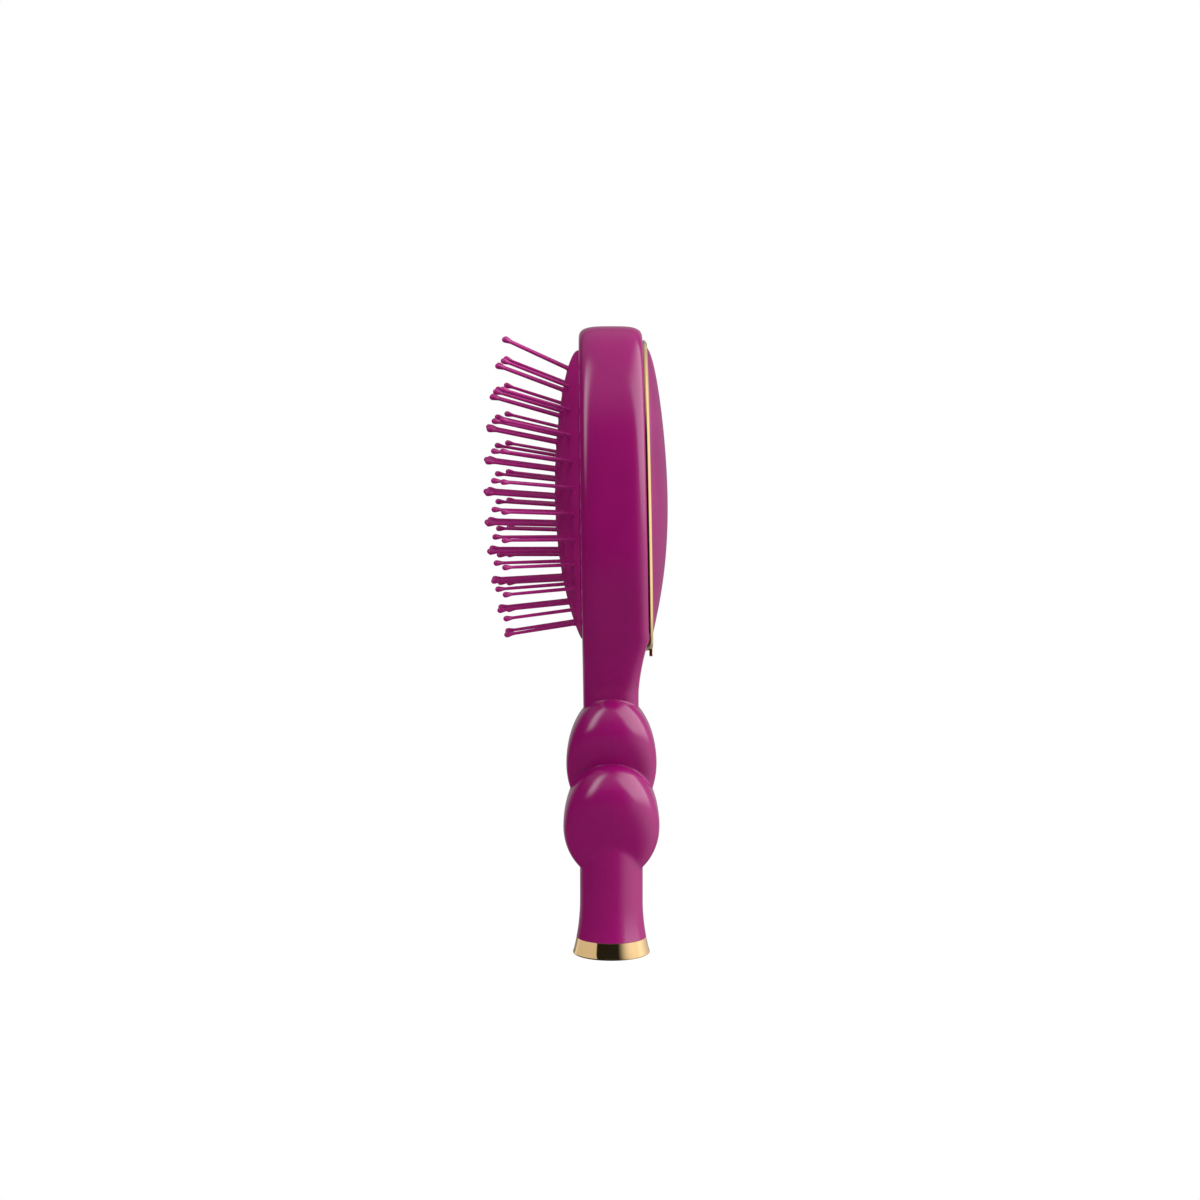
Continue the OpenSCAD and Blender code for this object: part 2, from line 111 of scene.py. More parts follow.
# Pins. RINGS says how many pins a ring has, into how many slices it is cut, how far it is drawn in
# from the cushion's rim as a share of half the cushion's width, and the steps of a slice's backing.
# SEAMS are the shares where one ring's backing ends and the next begins, and CENTRE_SHARES those of
# the centre piece. Its row reaches CENTRE_REACH of the cushion's middle line. BALL_NECK and BALL_CAP
# are shares of a ball's height, ROOT_RISE and ROOT_R the flare where a pin leaves the rubber, and
# COLLAR_H and COLLAR_R the rubber's collar round it. Angles are in degrees.
PIN_L = 21.4
PIN_ROOT_R = 0.56
PIN_END_R = 0.46
BALL_R = 0.86
BALL_H = BALL_R * 3.6
BALL_NECK, BALL_CAP = 0.72, 0.28
ROOT_RISE, ROOT_R = (0.0, 0.3, 0.8), (0.72, 0.66)
COLLAR_H, COLLAR_R = 0.28, 1.1
BACKING_T = 0.9
BACKING_TOP = RUBBER_T + FIT
BACKING_LOW = BACKING_TOP + BACKING_T
RINGS = (("outer", 24, 6, 0.2111, 26), ("middle", 20, 4, 0.4667, 34), ("inner", 14, 2, 0.7333, 42))
SEAMS = (0.075, 0.34, 0.6, 0.8667)
CENTRE_PINS = 5
CENTRE_REACH = 0.8
CENTRE_SHARES = (1, 0.94, 0.89334)
BED_DROP = 0.5
TILT_UP, TILT_DOWN, LEAN = 29.0, 11.0, 18.0
LEVEL_SHARE, TILT_UP_SHARE = 0.38, 1.5

# Cover, trim ring and foot. COVER_FULL are powers of the cover's dome, at its lowest and its highest
# place. The ring's section is given in shares of its width and its height, and the foot's sole as
# radius and height. The tail reaches TAIL_UNDER up under the ring, TAIL_SQUARE is the power of its
# squared oval, and FOOT_BULGE that of the foot's flare.
COVER_A = 25.0
COVER_B = 44.35
COVER_Z = BRUSH_H - 50.15
COVER_CROWN = 5.9
COVER_FULL = (1.1, 0.55)
COVER_T = 1.8
TRIM_W = 1.6
TRIM_T = 1.3
TRIM_SECTION = (
    (0, 0), (1, 0), (1, 0.18), (0.995, 0.36), (0.94, 0.46), (0.82, 0.62), (0.68, 0.78),
    (0.52, 0.92), (0.4, 0.985), (0.28, 1.0), (0.14, 0.97), (0.05, 0.9), (0, 0.8),
)
TAIL_L = 2.5
TAIL_W = 4.0
TAIL_T = TRIM_T * 0.75
TAIL_UNDER = 0.5
TAIL_SQUARE = 0.5
TAIL_ROUND, TAIL_ROUND_NEAR = 0.15, 0.05
SOLE = [(0, 0), (9.8, 0), (10.9, 0.0), (11.3, 0.07), (11.52, 0.24)]
SOLE_EDGE_H = 0.5
FOOT_BULGE = 0.8
FOOT_LIP = 0.12
FOOT_WALL = 1.4
SPIGOT_L = 8
SPIGOT_CHAMFER = 0.3
FLAT_Z = COVER_Z - COVER_B + WALL * 1.6


# ---------------------------------------------------------------- numbers and forms
def mix(a, b, t):
    """Straight change from a to b as t goes from 0 to 1."""
    return a + (b - a) * t


def held(t):
    """The share t, held between 0 and 1."""
    return np.clip(t, 0.0, 1.0)


def ease(t):
    """Smooth step: three t squared less two t cubed, held between 0 and 1."""
    t = held(t)
    return t * t * (3.0 - 2.0 * t)


def soft_max(a, b, width):
    """The larger of two radii, with a rounded change-over where they differ by less than the width."""
    h = np.maximum(width - np.abs(a - b), 0.0) / width
    return np.maximum(a, b) + h * h * width / 4.0


def side_w(z):
    """Half width of the head's outline: an ellipse above the widest place and, below it,
    one less a power of the drop, itself raised to a power, that runs softly into the neck."""
    above = HEAD_W / 2 * np.sqrt(np.maximum(0.0, 1 - ((z - WIDE_Z) / HEAD_TOP_H) ** 2))
    drop = held((WIDE_Z - z) / HEAD_LOW_H)
    below = NECK_W / 2 + (HEAD_W - NECK_W) / 2 * (1 - drop ** SIDE_DROP) ** SIDE_FALL
    below = np.where(z < NECK_Z, NECK_W / 2 - (NECK_Z - z) * SIDE_RUN_OUT, below)
    return np.where(z >= WIDE_Z, above, soft_max(below, NECK_W / 2, NECK_SOFT))


def front_d(z):
    """Depth of the front half's flat face, a plane that comes forward towards the top."""
    return mix(FRONT_NECK_D, FRONT_TOP_D, (z - NECK_Z) / (BRUSH_H - NECK_Z))


def plane_d(z):
    """Depth of the back half's flat face, a plane that draws in towards the top."""
    return mix(BACK_LOW_D, BACK_TOP_D, (z - FLAT_Z) / (BRUSH_H - FLAT_Z))


def back_d(z):
    """Depth of the back half: a plane above FLAT_Z that falls to the neck below it."""
    low = mix(BACK_NECK_D, BACK_LOW_D, held((z - NECK_Z) / (FLAT_Z - NECK_Z)) ** BACK_FALL)
    return np.where(z > FLAT_Z, plane_d(z), low)


def round_d(z):
    """How far the rounded edge draws in from the outline, from the neck up into the head."""
    return mix(NECK_W / 2 * NECK_ROUND, EDGE_R, ease((z - NECK_Z) / (FLAT_Z - NECK_Z)))


def edge_power(z):
    """Power of the rounded edge's curve: an oval neck grows into a head with a flatter side wall."""
    return mix(NECK_POWER, HEAD_POWER, ease((z - NECK_Z) / (FLAT_Z - NECK_Z)))


def swelling_r(z, turn, form):
    """Distance from the handle's axis to a swelling's skin, at a height and a direction from the depth
    axis. The skin is (x/a)^2 + ((z-zc)/h)^2 + (y/(b m))^4 = 1, with a width share m that eases from 1
    to the waist, so the squared distance solves a quadratic equation."""
    rise = z - form["z"]
    h = np.where(rise > 0, form["up"], form["down"]) * form["d"]
    left = np.maximum(1 - (rise / h) ** 2, 1e-9)
    start, end = form["start"] * form["d"], -form["end"] * form["d"]
    m = mix(1.0, form["waist"], ease((start - rise) / (start - end)))
    c = np.cos(turn) ** 2 / ((form["d"] / 2) ** 2 * left)
    s = np.sin(turn) ** 4 / ((form["w"] / 2 * m) ** 4 * left)
    return np.sqrt(2 / (c + np.sqrt(c * c + 4 * s)))


def stem_r(z):
    """Radius of the stem, which flares to the foot by the square of the share left."""
    flare = held((FOOT_H + STEM_FLARE - z) / STEM_FLARE)
    return STEM_R + (FOOT_TOP_R - STEM_R) * flare ** 2


# ---------------------------------------------------------------- meshes
def grid(points, wrap_rows=False, wrap_columns=False):
    """Points in rows and columns, as a list of corners and the four-sided faces between them."""
    rows, columns = points.shape[:2]
    r = np.arange(rows if wrap_rows else rows - 1)[:, None]
    c = np.arange(columns if wrap_columns else columns - 1)[None, :]
    r1, c1 = (r + 1) % rows, (c + 1) % columns
    corners = [r * columns + c, r * columns + c1, r1 * columns + c1, r1 * columns + c]
    faces = np.stack(np.broadcast_arrays(*corners), -1).reshape(-1, 4)
    return points.reshape(-1, 3), faces


def stack(*axes):
    """Points from three arrays of x, y and z."""
    return np.stack(np.broadcast_arrays(*axes), -1).astype(float)


def mirrored(parts):
    """The given grids and their images across the plane y = 0."""
    return parts + [(points * (1, -1, 1), faces[:, ::-1]) for points, faces in parts]


def full_turn(count, start=-math.pi / 2):
    """Directions in even steps round a full turn. An oval's turn starts at its lowest point."""
    return np.linspace(start, start + 2 * math.pi, count + 1)[:-1]


def run_along(path):
    """Length of the way along a path to each of its points."""
    return np.concatenate([[0], np.cumsum(np.linalg.norm(np.diff(path, axis=0), axis=1))])


def along(path, shares):
    """Points on a path at shares of its length."""
    run = run_along(path)
    return np.stack([np.interp(shares * run[-1], run, path[:, k]) for k in (0, 1)], 1)


def oval_half(a, b, zc, count=400):
    """Right half of an oval round the height zc, from its lowest point to its highest."""
    turn = np.linspace(-math.pi / 2, math.pi / 2, count)
    return np.stack([a * np.cos(turn), zc + b * np.sin(turn)], 1)


def drawn_in(a, b, s, turn):
    """Points of an oval of half width a and half height b, drawn in by the share s of a."""
    return (a - s * a) * np.cos(turn), (b - s * a) * np.sin(turn)


WELD_REACH = 2e-6
NO_LENGTH = 1e-7


def piece(name, parts, body, finish, nodes, crease=40.0):
    """One closed mesh from several grids, welded where they meet, with outward faces. An edge
    looks sharp where its faces meet at more than the crease angle."""
    points = np.concatenate([p for p, _ in parts]) * MM
    starts = np.cumsum([0] + [len(p) for p, _ in parts[:-1]])
    faces = np.concatenate([f + s for (_, f), s in zip(parts, starts)])
    mesh = bpy.data.meshes.new(name)
    mesh.from_pydata(points, [], faces.tolist())
    work = bmesh.new()
    work.from_mesh(mesh)
    bmesh.ops.remove_doubles(work, verts=work.verts, dist=WELD_REACH)
    bmesh.ops.dissolve_degenerate(work, edges=work.edges, dist=NO_LENGTH)
    bmesh.ops.recalc_face_normals(work, faces=work.faces)
    work.to_mesh(mesh)
    work.free()
    mesh.shade_smooth()
    mesh.set_sharp_from_angle(angle=math.radians(crease))
    made = bpy.data.objects.new(name, mesh)
    bpy.context.scene.collection.objects.link(made)
    mesh.materials.append(finish)
    if body:
        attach(made, body)
    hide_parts(*nodes)
    return made


# ---------------------------------------------------------------- finishes
def linear(text):
    """A written sRGB colour as linear light."""
    c = np.array([int(text[i:i + 2], 16) for i in (0, 2, 4)]) / 255
    lin = np.where(c <= 0.04045, c / 12.92, ((c + 0.055) / 1.055) ** 2.4)
    return (*lin.tolist(), 1.0)


def add(tree, kind, settings=None, inputs=None):
    """Adds a node, sets its properties, and sets or links its sockets."""
    made = tree.nodes.new(kind)
    for key, value in (settings or {}).items():
        setattr(made, key, value)
    for key, value in (inputs or {}).items():
        if isinstance(value, bpy.types.NodeSocket):
            tree.links.new(value, made.inputs[key])
        else:
            made.inputs[key].default_value = value
    return made


def finish_named(name, **sockets):
    """A material with one Principled shader, and its node tree, shader and object coordinates."""
    made = bpy.data.materials.new(name)
    made.use_nodes = True
    tree = made.node_tree
    shader = tree.nodes["Principled BSDF"]
    for key, value in sockets.items():
        shader.inputs[key.replace("_", " ")].default_value = value
    place = add(tree, "ShaderNodeTexCoord").outputs["Object"]
    return made, tree, shader, place


def two_tone(tree, shader, place, size, low, high):
    """Slow change of a shader's colour between two tones, over patches of a size in millimetres."""
    patches = add(tree, "ShaderNodeTexNoise", None, {
        "Vector": place, "Scale": 1 / (size * MM), "Detail": 2.0})
    ramp = add(tree, "ShaderNodeValToRGB", None, {"Fac": patches.outputs["Fac"]})
    for stop, share, colour in zip(ramp.color_ramp.elements, (0.3, 0.7), (low, high)):
        stop.position = share
        stop.color = linear(colour)
    tree.links.new(ramp.outputs["Color"], shader.inputs["Base Color"])


def relief(tree, shader, place, size, detail, strength, depth):
    """Fine unevenness of a moulded skin, with its size and its depth in millimetres."""
    grain = add(tree, "ShaderNodeTexNoise", None, {
        "Vector": place, "Scale": 1 / (size * MM), "Detail": detail})
    bump = add(tree, "ShaderNodeBump", None, {
        "Height": grain.outputs["Fac"], "Strength": strength, "Distance": depth * MM})
    tree.links.new(bump.outputs["Normal"], shader.inputs["Normal"])


# Glossy injection-moulded ABS. Its skin mirrors the soft boxes with a very slight orange peel.
moulded_abs, tree, shader, place = finish_named("moulded_abs", Roughness=0.17, IOR=1.5)
two_tone(tree, shader, place, 18, "7e0956", "840b5b")
relief(tree, shader, place, size=2.2, detail=1.0, strength=0.03, depth=0.1)

# Satin ABS of the back cover, moulded against a finely blasted tool, so that it looks duller than
# the handle where light falls on it.
satin_abs, tree, shader, place = finish_named("satin_abs", Roughness=0.38, Specular_IOR_Level=0.3)
two_tone(tree, shader, place, 14, "750c52", "7c1358")
relief(tree, shader, place, size=0.5, detail=2.0, strength=0.05, depth=0.05)

# Moulded silicone rubber of the cushion: dull, with a fine woven print of dots from its mould. A
# wave texture of scale 1 repeats every 2 pi / 20, so this scale gives the dots their pitch.
DOT_PITCH = 0.9 * MM
DOT_DEPTH = 0.12 * MM
silicone_rubber, tree, shader, place = finish_named(
    "silicone_rubber", Roughness=0.65, Specular_IOR_Level=0.08)
two_tone(tree, shader, place, 9, "8c0b60", "940f66")
turned = add(tree, "ShaderNodeMapping", None, {"Vector": place, "Rotation": (math.radians(45), 0, 0)})
waves = [add(tree, "ShaderNodeTexWave", {"bands_direction": axis}, {
    "Vector": turned.outputs["Vector"], "Scale": 2 * math.pi / 20 / DOT_PITCH}) for axis in ("Y", "Z")]
dots = add(tree, "ShaderNodeMath", {"operation": "MULTIPLY"}, {
    0: waves[0].outputs["Fac"], 1: waves[1].outputs["Fac"]})
bump = add(tree, "ShaderNodeBump", None, {
    "Height": dots.outputs["Value"], "Strength": 0.35, "Distance": DOT_DEPTH})
tree.links.new(bump.outputs["Normal"], shader.inputs["Normal"])

# Moulded nylon of the pins: glossy, and slightly uneven in tone from its flow in the mould.
moulded_nylon, tree, shader, place = finish_named(
    "moulded_nylon", Roughness=0.25, IOR=1.53, Specular_IOR_Level=0.3)
two_tone(tree, shader, place, 6, "96106a", "9f1a72")

# Plated ABS: bright pale gold over copper and nickel. A faint haze of handling dulls it in patches.
HAZE_SIZE = 5 * MM
gold_plate, tree, shader, place = finish_named("gold_plate", Metallic=1.0)
two_tone(tree, shader, place, 12, "e6c086", "eecb96")
haze = add(tree, "ShaderNodeTexNoise", None, {"Vector": place, "Scale": 1 / HAZE_SIZE, "Detail": 3.0})
dulled = add(tree, "ShaderNodeMapRange", None, {
    "Value": haze.outputs["Fac"], "To Min": 0.05, "To Max": 0.11})
tree.links.new(dulled.outputs["Result"], shader.inputs["Roughness"])

# Matte ABS of the hidden tray, with the fine tooth of a spark-eroded mould.
matte_abs, tree, shader, place = finish_named("matte_abs", Roughness=0.55, IOR=1.5)
two_tone(tree, shader, place, 8, "64093f", "6e0f4a")
relief(tree, shader, place, size=0.4, detail=2.0, strength=0.1, depth=0.05)


# ---------------------------------------------------------------- handle and head
EDGE_STEPS = 30
FACE_STEPS = 3
HANDLE_ROWS = 340
SIDE_ROWS = 63
TOP_ROWS = 60
LIP_STEPS = 4

# The rounded edge's rows are level where the head joins the handle and stand square to the outline
# from LEVEL_RUN above that. The front face runs in to the opening from SPLIT_DROP below it, and the
# back face to a centre line that ends CENTRE_DROP below the top. The parting line is a groove.
LEVEL_RUN = 10
GROOVE = 0.008
GROOVE_SLOPE = 1.5
SPLIT_DROP = 1.0
CENTRE_DROP = 14


def edge_turns():
    """Turns of the rounded edge, from the parting line to the face, that cut the neck's section at
    equal angles about the axis."""
    t = np.linspace(0, math.pi / 2, 2000)
    y, x = edge_section(np.array([JOIN_Z]), t, -1)
    angle = np.arctan2(y[0], x[0])
    want = np.linspace(math.pi / 2, angle[-1], EDGE_STEPS + 1)
    return np.interp(want, angle[::-1], t[::-1])


def edge_section(z, t, side):
    """Half width and depth of the neck's section at heights z and edge turns t: the depth is a power
    of the sine, and the side draws in by one less that power of the cosine, times the rounding."""
    power = 2 / edge_power(z)[:, None]
    depth = (front_d(z) if side < 0 else back_d(z))[:, None] * np.sin(t) ** power
    inset = 1 - np.maximum(np.cos(t), 0) ** power
    return side_w(z)[:, None] - inset * round_d(z)[:, None], np.maximum(depth, GROOVE)


def head_outline():
    """Right half of the outline from the neck to the top, with its outward directions."""
    z = np.linspace(JOIN_Z, WIDE_Z, SIDE_ROWS + 1)[:-1]
    turn = np.linspace(0, math.pi / 2, TOP_ROWS)
    path = np.stack([
        np.concatenate([side_w(z), HEAD_W / 2 * np.cos(turn)]),
        np.concatenate([z, WIDE_Z + HEAD_TOP_H * np.sin(turn)]),
    ], 1)
    path[-1, 0] = 0.0
    way = np.gradient(path, axis=0)
    out = np.stack([way[:, 1], -way[:, 0]], 1) / np.linalg.norm(way, axis=1)[:, None]
    out[:, 1] *= ease((path[:, 1] - JOIN_Z) / LEVEL_RUN)
    out[-1] = (0, 1)
    return path, out / np.linalg.norm(out, axis=1)[:, None]


def handle_skin(side, t):
    """Rows of the handle's skin from the foot to the head. Its distance from the axis is the largest
    of stem, swellings and neck, with soft creases between them."""
    z = np.linspace(FOOT_H, JOIN_Z, HANDLE_ROWS + 1)[:-1]
    y, x = edge_section(np.maximum(z, NECK_SECTION_Z), t, side)
    y = np.concatenate([y, y[:, -1:] * np.linspace(1, 0, FACE_STEPS + 1)[1:]], 1)
    x = np.concatenate([x, np.repeat(x[:, -1:], FACE_STEPS, 1)], 1)
    z = z[:, None]
    turn, neck = np.arctan2(y, x), np.hypot(y, x)
    low = swelling_r(z, turn, LOW_SWELLING)
    high = swelling_r(z, turn, HIGH_SWELLING)
    r = np.where(z < LOW_SWELLING["z"], soft_max(low, stem_r(z), STEM_CREASE), low)
    r = soft_max(r, high, SWELLING_CREASE)
    r = np.where(z > NECK_ROOT_Z, soft_max(r, neck, SWELLING_CREASE), r)
    return stack(side * r * np.cos(turn), r * np.sin(turn), z)


def half_shell(side):
    """Grids of one half: the handle's skin joined to the head's rounded edge, face and opening."""
    t = edge_turns()
    path, out = head_outline()
    power = 2 / edge_power(path[:, 1])[:, None]
    inset = (1 - np.maximum(np.cos(t), 0)[None, :] ** power)[:, :, None]
    edge = path[:, None, :] - out[:, None, :] * inset * round_d(path[:, 1])[:, None, None]
    deep = np.sin(t)[None, :] ** power
    depth = front_d if side < 0 else back_d
    rim = edge[:, -1]
    run = run_along(rim)

    # Line that the flat face runs in to: the opening's edge in front, the centre line behind
    if side < 0:
        a, b = PAD_A + CLEAR, PAD_B + CLEAR
        low_end = PAD_Z - b - LIP_ROUND
        split = int(np.argmin(np.abs(rim[:, 1] - (low_end - SPLIT_DROP))))
        shares = (run[split:] - run[split]) / (run[-1] - run[split])
        low_line = np.stack([np.zeros(split), mix(JOIN_Z, low_end, np.arange(split) / split)], 1)
        opening = along(oval_half(a + LIP_ROUND, b + LIP_ROUND, PAD_Z), shares)
        centre = np.concatenate([low_line, opening])
    else:
        split = len(rim)
        centre = np.stack([np.zeros(split), mix(JOIN_Z, rim[-1, 1] - CENTRE_DROP, run / run[-1])], 1)
    inner = np.linspace(0, 1, FACE_STEPS + 1)[1:, None, None]
    face = mix(rim[None], centre[None], inner).transpose(1, 0, 2)
    yz = np.concatenate([edge, face], 1)
    share = np.concatenate([deep, np.ones((len(path), FACE_STEPS))], 1)
    x = np.maximum(depth(yz[..., 1]) * share, GROOVE)
    head = stack(side * x, yz[..., 0], yz[..., 1])
    skin = np.concatenate([handle_skin(side, t), head])

    # Groove's side, from the skin's outer edge in to the parting plane
    rows = len(skin) - len(head)
    border = skin[:, 0] * (0, 1, 1)
    border[:rows, 1] -= np.abs(skin[:rows, 0, 0]) * GROOVE_SLOPE
    border[rows:, 1:] -= out * GROOVE * GROOVE_SLOPE
    parts = [grid(skin), grid(np.stack([skin[:, 0], border], 1))]

    # Rounded lip of the front half's opening and the well behind it, down to the parting plane
    middle = np.zeros_like(border)
    middle[:, 2] = border[:, 2]
    middle[rows:, 2] = centre[:, 1]
    if side < 0:
        well = along(oval_half(PAD_A + FLANGE_W + CLEAR, PAD_B + FLANGE_W + CLEAR, PAD_Z), shares)
        loops = []
        for bend in np.linspace(0, math.pi / 2, LIP_STEPS + 1):
            wider = CLEAR + LIP_ROUND * (1 - math.sin(bend))
            p = along(oval_half(PAD_A + wider, PAD_B + wider, PAD_Z), shares)
            in_x = LIP_ROUND * (1 - math.cos(bend))
            loops.append(stack(-front_d(p[:, 1]) + in_x, p[:, 0], p[:, 1]))
        p = along(oval_half(a, b, PAD_Z), shares)
        loops.append(stack(-LIP_X, p[:, 0], p[:, 1]))
        loops.append(stack(-LIP_X, well[:, 0], well[:, 1]))
        loops.append(stack(0.0, well[:, 0], well[:, 1]))
        parts.append(grid(np.stack(loops)))
        middle[rows + split:, 1:] = well
        middle[rows:rows + split, 2] = mix(JOIN_Z, well[0, 1], np.arange(split) / split)

    # Parting face, and the lower end over the foot
    parts.append(grid(np.stack([border, middle], 1)))
    foot = np.concatenate([border[:1], skin[0]])
    parts.append(grid(np.stack([foot, np.broadcast_to([0.0, 0.0, FOOT_H], foot.shape)])))
    return mirrored(parts)


piece("shell_front", half_shell(-1), "handle", moulded_abs, ["front_shell"])
piece("shell_back", half_shell(1), "handle", moulded_abs, ["back_shell"])


# ---------------------------------------------------------------- cushion
TURN_SAMPLES = 2000
CUSHION_COLUMNS = 360
SKIN_LOOPS, SKIN_CROWD = 84, 1.25
UNDER_LOOPS, UNDER_START = 24, 0.09
COLLARS_START = 0.02


def pad_point(s, turn):
    """Point of the cushion's plan: an oval drawn in by a share of its half width."""
    return drawn_in(PAD_A, PAD_B, s, turn)


def pad_rise(y, z):
    """Height of the cushion above its rim: one less the squared shares of width and height, raised
    to a fullness that changes along and across the cushion."""
    u, v, up = (y / PAD_A) ** 2, (z / PAD_B) ** 2, held(0.5 + z / PAD_B / 2)
    across, lengthways = mix(*PAD_FULL_ACROSS, up), mix(*PAD_FULL_ALONG, up)
    full = (u * across + v * lengthways) / np.maximum(u + v, 1e-6)
    return CLEAR + (PAD_CROWN - CLEAR) * np.maximum(0, 1 - u - v) ** full


def pad_x(y, z, under):
    """Place along X of a surface that lies under the cushion's skin by a given depth."""
    return under - front_d(PAD_Z + z) - pad_rise(y, z)


def ring_run(s):
    """Directions round a ring of the cushion's plan, and the length run along it to each of them."""
    turn = np.linspace(-math.pi / 2, 1.5 * math.pi, TURN_SAMPLES + 1)
    y, z = pad_point(s, turn)
    return turn, np.concatenate([[0], np.cumsum(np.hypot(np.diff(y), np.diff(z)))])


def ring_points(s, count):
    """Plan places of a ring's pins, at equal steps along the ring, half a step from its lowest point."""
    turn, run = ring_run(s)
    return pad_point(s, np.interp((np.arange(count) + 0.5) / count * run[-1], run, turn))


pin_places = {name: np.stack(ring_points(s, count), 1) for name, count, _, s, _ in RINGS}
row = np.linspace(-1, 1, CENTRE_PINS) * (PAD_B - PAD_A) * CENTRE_REACH
pin_places["centre"] = np.stack([np.zeros(CENTRE_PINS), row], 1)
for places in pin_places.values():
    places[:, 1] -= BED_DROP
all_places = np.concatenate(list(pin_places.values()))


def pin_collars(y, z):
    """Small rounded collar of rubber round each pin: a bell curve of the distance to the nearest pin."""
    near = np.full(np.shape(y), np.inf)
    for py, pz in all_places:
        near = np.minimum(near, (y - py) ** 2 + (z - pz) ** 2)
    return COLLAR_H * np.exp(-near / COLLAR_R ** 2)


def cushion_parts():
    """Skin from the centre line out to the rim, down the side to the flange, and back under the
    rubber. The skin's loops lie closer together towards the centre line."""
    turn = full_turn(CUSHION_COLUMNS)
    loops = []
    for s in 1 - (1 - np.linspace(1, 0, SKIN_LOOPS)) ** SKIN_CROWD:
        y, z = pad_point(s, turn)
        lift = pin_collars(y, z) if s > COLLARS_START else 0.0
        loops.append(stack(pad_x(y, z, 0) - lift, y, PAD_Z + z))
    flange_x = -LIP_X + CLEAR
    under_x = flange_x + FLANGE_T
    for wider, x in ((0, -FRONT_NECK_D), (0, flange_x), (FLANGE_W, flange_x), (FLANGE_W, under_x),
                     (-RUBBER_T, under_x)):
        loops.append(stack(x, (PAD_A + wider) * np.cos(turn), PAD_Z + (PAD_B + wider) * np.sin(turn)))
    for s in np.linspace(UNDER_START, 1, UNDER_LOOPS):
        y, z = pad_point(s, turn)
        loops.append(stack(pad_x(y, z, RUBBER_T), y, PAD_Z + z))
    return [grid(np.stack(loops), wrap_columns=True)]


cushion = piece("rubber_cushion", cushion_parts(), None, silicone_rubber,
                ["cushion"], 50.0)

# Outward way of the front half's flat face, and the cushion's placement baked into its mesh
face_way = np.array([-1.0, 0.0, -(FRONT_TOP_D - FRONT_NECK_D) / (BRUSH_H - NECK_Z)])
face_way /= np.linalg.norm(face_way)
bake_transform(cushion)


# ---------------------------------------------------------------- pins
PIN_SIDES = 20
NECK_LOOPS, CAP_LOOPS = 9, 7
CENTRE_COLUMNS = 120


def pin_grids(places):
    """Each pin is a tapered shaft with a drop-shaped ball, turned about an axis that tilts with its
    height on the cushion and leans with its distance from the middle."""
    y, z = places[:, 0], places[:, 1]
    d = z + LEVEL_SHARE * PAD_B
    up = TILT_UP * held(d / (PAD_B * (1 + LEVEL_SHARE))) ** TILT_UP_SHARE
    down = -TILT_DOWN * held(-d / (PAD_B * (1 - LEVEL_SHARE)))
    tilt, lean = np.radians(np.where(d > 0, up, down)), np.radians(-LEAN * y / PAD_A)
    axis = np.stack([-np.cos(tilt) * np.cos(lean), -np.cos(tilt) * np.sin(lean), np.sin(tilt)], 1)
    across = np.cross(axis, [0.0, 1.0, 0.0])
    across /= np.linalg.norm(across, axis=1)[:, None]
    beside = np.cross(axis, across)
    root = np.stack([pad_x(y, z, BACKING_TOP), y, PAD_Z + z], 1)

    # Ball: its neck swells by a smooth step, and its cap is an ellipse that ends in a point
    neck = np.linspace(0, BALL_NECK, NECK_LOOPS)
    cap = BALL_NECK + BALL_CAP * np.sin(np.linspace(0, math.pi / 2, CAP_LOOPS + 1))[1:]
    u = np.concatenate([neck, cap])
    ball = np.where(u <= BALL_NECK, mix(PIN_END_R, BALL_R, ease(u / BALL_NECK)),
                    BALL_R * np.sqrt(np.maximum(0, 1 - ((u - BALL_NECK) / BALL_CAP) ** 2)))
    ball[-1] = 0.0
    flare = RUBBER_T + np.array(ROOT_RISE)
    end = PIN_L + RUBBER_T
    far = np.concatenate([[-BACKING_T / 2, -BACKING_T / 2], flare, end - BALL_H * (1 - u)])
    wide = np.concatenate([[0.0, PIN_ROOT_R], ROOT_R, [PIN_ROOT_R], ball])
    turn = full_turn(PIN_SIDES, 0.0)
    circle = np.cos(turn)[:, None, None] * across + np.sin(turn)[:, None, None] * beside
    points = root + far[:, None, None, None] * axis + wide[:, None, None, None] * circle
    return [grid(points[:, :, k], wrap_columns=True) for k in range(len(places))]


def backing_loops(shares, there, back, turn):
    """Loops of a thin sheet: across it at one depth under the cushion's skin, back at another."""
    loops = []
    for under, way in ((there, shares), (back, shares[::-1])):
        for s in way:
            y, z = pad_point(s, turn)
            loops.append(stack(pad_x(y, z, under), y, PAD_Z + z))
    return loops


def backing_grids(s0, ring, s1, start, end, count):
    """Curved strip of backing under the rubber, between two seams of the cushion's plan."""
    turn, run = ring_run(ring)
    turns = np.interp(np.linspace(start, end, count) * run[-1], run, turn)
    strip = np.stack(backing_loops((s0, ring, s1), BACKING_LOW, BACKING_TOP, turns), 1)
    ends = [grid(np.stack([strip[k, [0, 1, 2]], strip[k, [5, 4, 3]]])) for k in (0, -1)]
    return [grid(strip, wrap_columns=True)] + ends


for seam, next_seam, (ring_name, count, slices, s, steps) in zip(SEAMS, SEAMS[1:], RINGS):
    own = count // slices
    for k in range(slices):
        parts = backing_grids(seam + CLEAR / PAD_A, s, next_seam, k / slices, (k + 1) / slices, steps)
        parts += pin_grids(pin_places[ring_name][k * own:(k + 1) * own])
        piece(f"{ring_name}_pins_{k + 1}", parts, "bristle_bed", moulded_nylon,
              [f"pins_{ring_name}_{k + 1}"])

sheet = backing_loops(CENTRE_SHARES, BACKING_TOP, BACKING_LOW, full_turn(CENTRE_COLUMNS))
centre_parts = [grid(np.stack(sheet), wrap_columns=True)] + pin_grids(pin_places["centre"])
piece("centre_pins", centre_parts, "bristle_bed", moulded_nylon, ["pins_centre"])


